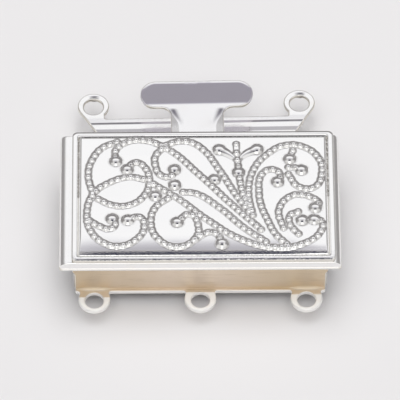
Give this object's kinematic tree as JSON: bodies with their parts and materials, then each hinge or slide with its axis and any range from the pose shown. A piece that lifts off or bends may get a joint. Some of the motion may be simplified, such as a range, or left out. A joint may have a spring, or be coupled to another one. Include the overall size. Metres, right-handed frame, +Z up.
{
  "type": "multi-strand box clasp",
  "caption": "Rectangular box clasp for bead strands: scroll-stamped cover, rings on the case and on the sliding tongue, and a T-shaped thumb tab that frees the tongue.",
  "frame": {"origin": "centre of the case's underside, on the surface that it rests on", "axes": "+X along the case, left to right as seen from the case's rings, +Y from the case's rings to the tongue, the way that the tongue is drawn out, +Z up through the cover"},
  "size_m": [0.028, 0.0275, 0.0061],
  "materials": {
    "polished_plate": "mirror-polished silver plate on stamped relief",
    "bright_plate": "bright silver plate, faint rolling marks",
    "warm_strip": "thin silver plate over brass, satin, warm where the plate is thin"
  },
  "bodies": {
    "case": {"cover_plate": "polished_plate", "case_shell": "bright_plate", "back_plate": "bright_plate", "end_strip": "warm_strip"},
    "tongue": {"tongue": "bright_plate"},
    "latch": {"latch_leaf": "bright_plate"}
  },
  "joints": [
    {"name": "tongue_slide", "type": "slide", "parent": "case", "child": "tongue", "axis": [0, 1, 0], "range_m": [0, 0.0165], "deforming": ["latch_leaf"]},
    {"name": "latch_press", "type": "hinge", "parent": "tongue", "child": "latch", "pos_m": [0.00009, -0.00595, 0.0013], "axis": [0.9999, 0.0157, 0], "range_deg": [-8, 0], "stiffness_Nm_per_rad": 0.02}
  ]
}
